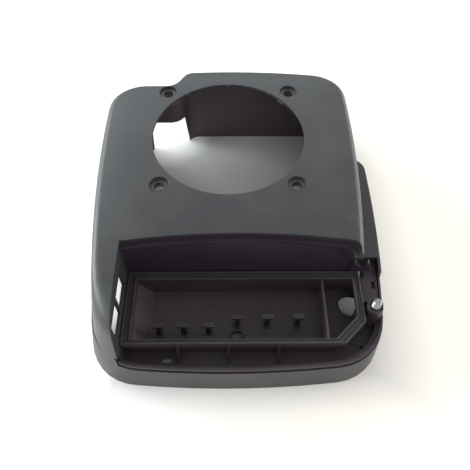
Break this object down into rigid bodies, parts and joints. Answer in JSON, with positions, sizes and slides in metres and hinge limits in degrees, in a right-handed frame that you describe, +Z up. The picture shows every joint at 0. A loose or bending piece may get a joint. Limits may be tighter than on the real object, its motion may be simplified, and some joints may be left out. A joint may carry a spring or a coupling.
{
  "type": "air filter housing",
  "caption": "Blower housing of a small vertical-shaft engine with a built-in air filter box, its cover and element left off.",
  "frame": {"origin": "centre of the fan opening and of the starter bolt pattern, in the top face of the deck", "axes": "+Z up along the crankshaft, out of the deck; +Y away from the filter box; +X to the side of the cover stud"},
  "size_m": [0.303, 0.3313, 0.102],
  "materials": {
    "shroud_plastic": "fine moulded grain, satin",
    "skirt_plastic": "fine moulded grain, satin",
    "tray_plastic": "smooth moulded, satin",
    "sleeve_plastic": "smooth moulded",
    "seal_rubber": "dull rubber",
    "zinc_steel": "zinc plated",
    "screw_steel": "zinc plated",
    "dark_steel": "blackened spring steel"
  },
  "bodies": {
    "root": {"fan_shroud": "shroud_plastic", "lower_skirt": "skirt_plastic", "filter_tray": "tray_plastic", "baffle_plate": "tray_plastic", "tray_seal": "seal_rubber", "element_clip_1": "tray_plastic", "element_clip_2": "tray_plastic", "element_clip_3": "tray_plastic", "element_clip_4": "tray_plastic", "element_clip_5": "tray_plastic", "element_clip_6": "tray_plastic", "cover_stud": "zinc_steel", "stud_washer": "zinc_steel", "stud_lock_ring": "dark_steel", "intake_sleeve": "sleeve_plastic", "intake_gasket": "seal_rubber", "breather_nipple": "seal_rubber", "tray_screws": "screw_steel", "skirt_screws": "screw_steel", "wing_screws": "screw_steel"}
  },
  "joints": []
}
